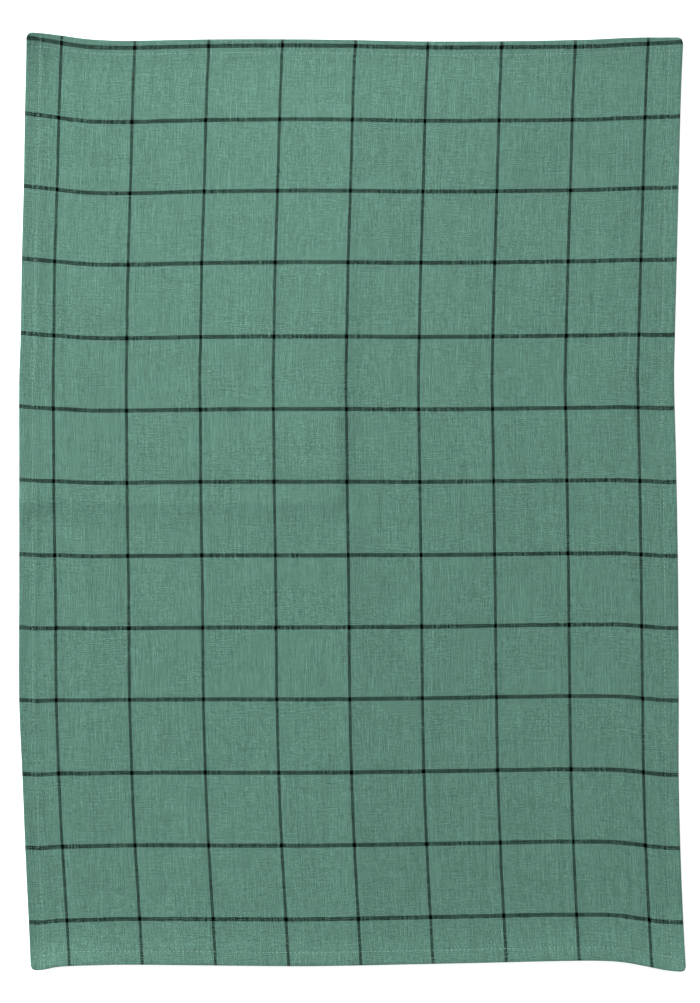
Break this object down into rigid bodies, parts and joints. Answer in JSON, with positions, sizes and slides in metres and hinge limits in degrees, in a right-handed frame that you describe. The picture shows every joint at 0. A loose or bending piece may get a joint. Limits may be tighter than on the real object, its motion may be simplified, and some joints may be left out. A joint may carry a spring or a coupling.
{
  "type": "tea towel",
  "caption": "Flat rectangular tea towel of thin woven cloth with a narrow turned hem on all four sides, lying face up.",
  "frame": {"origin": "middle of the towel's box, at the height of the surface that the towel lies on", "axes": "+Z out of the face, +Y along the long side towards the end that has a stripe close to its hem, +X across"},
  "size_m": [0.5046, 0.71, 0.0048],
  "materials": {
    "cloth": "matt plain-weave cotton, green with thin dark stripes both ways"
  },
  "bodies": {
    "root": {"towel_cloth": "cloth"}
  },
  "joints": []
}
